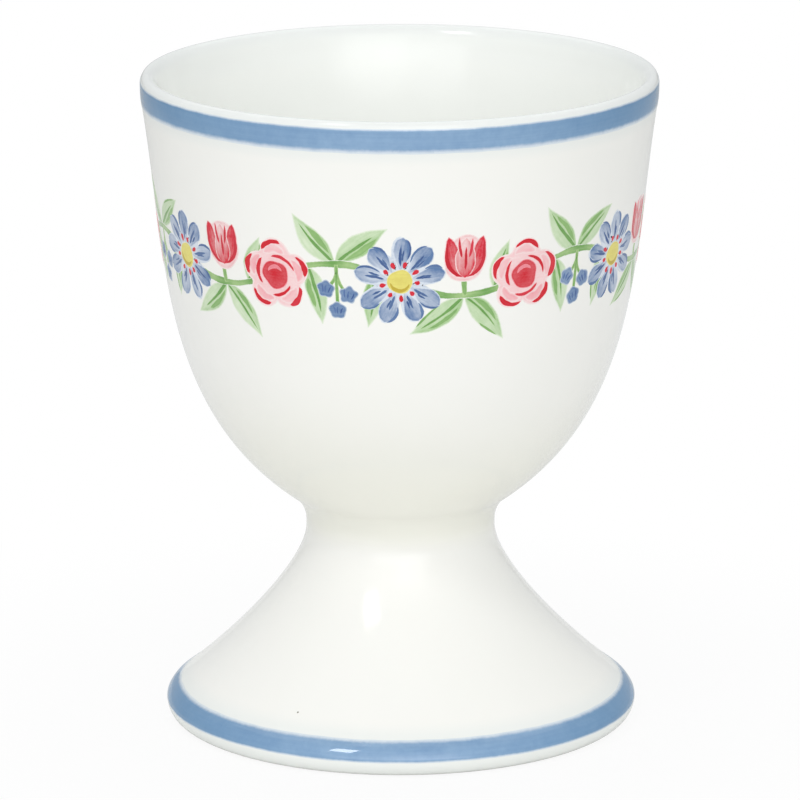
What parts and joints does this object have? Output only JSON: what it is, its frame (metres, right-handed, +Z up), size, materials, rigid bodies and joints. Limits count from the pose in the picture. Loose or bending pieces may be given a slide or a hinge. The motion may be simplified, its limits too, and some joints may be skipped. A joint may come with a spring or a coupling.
{
  "type": "egg cup",
  "caption": "Footed porcelain egg cup: thin-lipped bowl luted to a hollow flared foot, a blue line at lip and foot and a flower garland round the bowl.",
  "frame": {"origin": "centre of the standing ring, on the table", "axes": "+Z up along the cup's axis, -Y towards the side that the picture shows"},
  "size_m": [0.0511, 0.0512, 0.065],
  "materials": {
    "glazed_porcelain": "clear gloss glaze over cream-white porcelain; the flat standing ring is wiped bare and matt",
    "line_blue": "brushed fired-on line, glossy",
    "petal_blue": "fired-on print, glossy",
    "petal_pink": "fired-on print, glossy",
    "heart_red": "fired-on print, glossy",
    "eye_yellow": "fired-on print, glossy",
    "leaf_green": "fired-on print, glossy",
    "stem_green": "fired-on print, glossy"
  },
  "bodies": {
    "root": {"bowl": "glazed_porcelain", "slip_joint": "glazed_porcelain", "foot": "glazed_porcelain", "rim_line": "line_blue", "foot_line": "line_blue", "garland_stem": "stem_green", "garland_leaves": "leaf_green", "garland_daisies": "petal_blue", "garland_daisy_eyes": "eye_yellow", "garland_rosettes": "petal_pink", "garland_rosette_hearts": "heart_red", "garland_tulips": "heart_red", "garland_buds": "petal_blue"}
  },
  "joints": []
}
